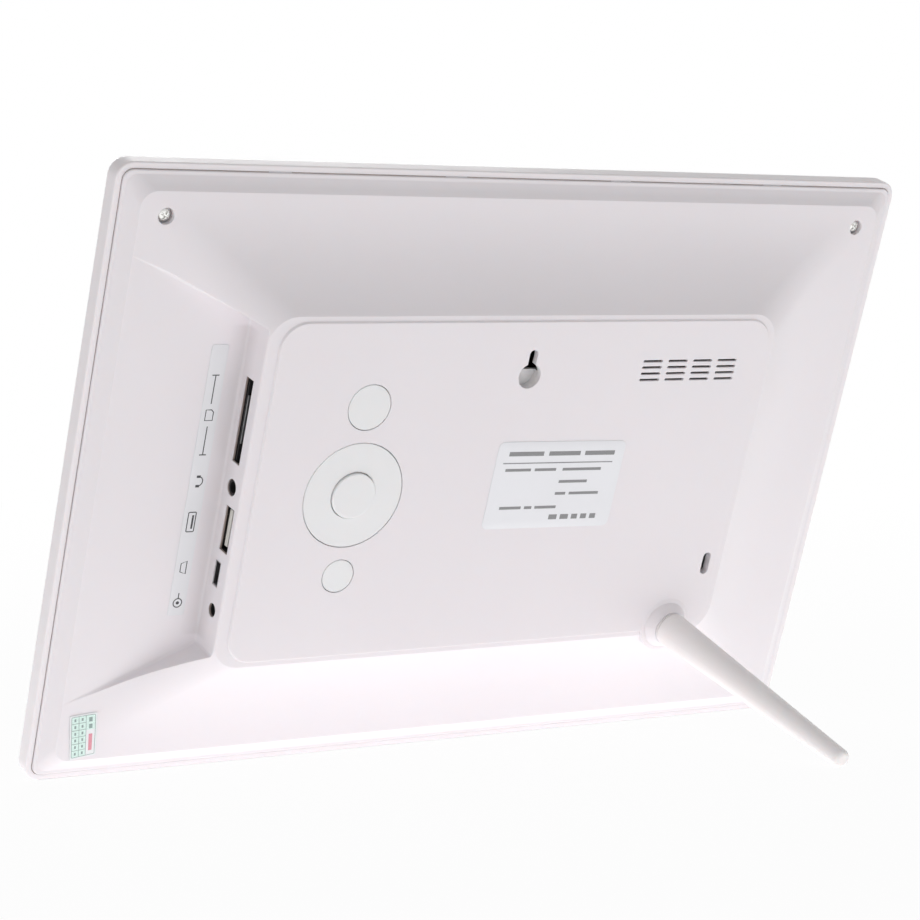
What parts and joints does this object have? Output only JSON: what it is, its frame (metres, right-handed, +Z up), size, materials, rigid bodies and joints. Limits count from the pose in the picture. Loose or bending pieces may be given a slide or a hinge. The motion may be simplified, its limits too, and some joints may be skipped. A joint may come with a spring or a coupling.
{
  "type": "digital photo frame",
  "caption": "Digital photo frame with a wide screen, dished rear cover, side port recess, push buttons, tilting four-way ring, keyhole and a screw-in stand leg.",
  "frame": {"origin": "on the floor under the middle of the bounding box, the frame standing on its lower rear edge and leg tip", "axes": "+Z up, the screen faces -Y and leans back, +X to the right seen from the front"},
  "size_m": [0.2722, 0.1212, 0.1754],
  "materials": {
    "case_white": "fine satin moulded",
    "button_white": "satin moulded",
    "zinc": "zinc plated",
    "screen_glass": "polished, dark when off",
    "film": "translucent film",
    "acrylic": "clear moulded",
    "sheet_metal": "rolled sheet",
    "circuit_green": "solder mask",
    "chip_black": "moulded package",
    "ribbon_amber": "flexible film",
    "socket_white": "moulded",
    "port_metal": "tin plated",
    "black_plastic": "moulded",
    "brass": "turned",
    "can_silver": "drawn can",
    "magnet_grey": "plated",
    "cone_paper": "pressed",
    "foam": "closed foam",
    "mesh_cloth": "woven",
    "lead_rubber": "insulated wire",
    "plunger_grey": "moulded"
  },
  "bodies": {
    "frame": {"front_bezel": "case_white", "rear_cover": "case_white", "case_screws": "zinc", "lcd_cell": "screen_glass", "optical_films": "film", "light_guide": "acrylic", "led_bar": "socket_white", "reflector_sheet": "film", "backlight_tray": "sheet_metal", "lcd_driver_board": "circuit_green", "lcd_ribbon": "ribbon_amber", "ribbon_socket": "socket_white", "lcd_brackets": "sheet_metal", "bracket_screws": "zinc", "main_board": "circuit_green", "board_screws": "zinc", "processor": "chip_black", "memory_chips": "chip_black", "power_inductors": "magnet_grey", "capacitors": "can_silver", "crystal": "can_silver", "card_socket_base": "black_plastic", "card_socket_shell": "port_metal", "audio_jack": "black_plastic", "host_port_shell": "port_metal", "host_port_tongue": "socket_white", "mini_port_shell": "port_metal", "mini_port_tongue": "black_plastic", "dc_jack": "black_plastic", "dc_pin": "port_metal", "switch_bodies": "can_silver", "nav_post": "socket_white", "grille_cloth": "mesh_cloth", "speaker_gasket": "foam", "speaker_basket": "sheet_metal", "speaker_cone": "cone_paper", "speaker_magnet": "magnet_grey", "speaker_socket": "socket_white", "speaker_leads": "lead_rubber", "leg_insert": "brass"},
    "power_button": {"power_button": "button_white", "power_plunger": "plunger_grey"},
    "menu_button": {"menu_button": "button_white", "menu_plunger": "plunger_grey"},
    "ok_button": {"ok_button": "button_white", "ok_plunger": "plunger_grey"},
    "nav_gimbal": {"nav_gimbal": "socket_white"},
    "nav_ring": {"nav_ring": "button_white", "nav_plungers": "plunger_grey"},
    "leg_washer": {"leg_washer": "case_white"},
    "stand_leg": {"stand_leg": "case_white", "leg_stud": "zinc"}
  },
  "joints": [
    {"name": "power_press", "type": "slide", "parent": "frame", "child": "power_button", "axis": [0, -0.9366, 0.3504], "range_m": [0, 0.0005], "stiffness_N_per_m": 500},
    {"name": "menu_press", "type": "slide", "parent": "frame", "child": "menu_button", "axis": [0, -0.9366, 0.3504], "range_m": [0, 0.0005], "stiffness_N_per_m": 500},
    {"name": "ok_press", "type": "slide", "parent": "frame", "child": "ok_button", "axis": [0, -0.9366, 0.3504], "range_m": [0, 0.0005], "stiffness_N_per_m": 500},
    {"name": "nav_tilt_up_down", "type": "hinge", "parent": "frame", "child": "nav_gimbal", "pos_m": [0.053, -0.01288, 0.08259], "axis": [1, 0, 0], "range_deg": [-1.5, 1.5], "stiffness_Nm_per_rad": 0.4},
    {"name": "nav_tilt_left_right", "type": "hinge", "parent": "nav_gimbal", "child": "nav_ring", "pos_m": [0.053, -0.01288, 0.08259], "axis": [0, 0.3504, 0.9366], "range_deg": [-1.5, 1.5], "stiffness_Nm_per_rad": 0.4},
    {"name": "leg_run", "type": "slide", "parent": "frame", "child": "leg_washer", "axis": [0, 0.9366, -0.3504], "range_m": [0, 0.00801]},
    {"name": "leg_turn", "type": "hinge", "parent": "leg_washer", "child": "stand_leg", "pos_m": [-0.072, -0.02347, 0.03344], "axis": [0, 0.9366, -0.3504], "range_deg": [0, 1440]}
  ],
  "couplings": [
    {"joint": "leg_run", "follows": "leg_turn", "m_per_rad": 0.00031831}
  ]
}
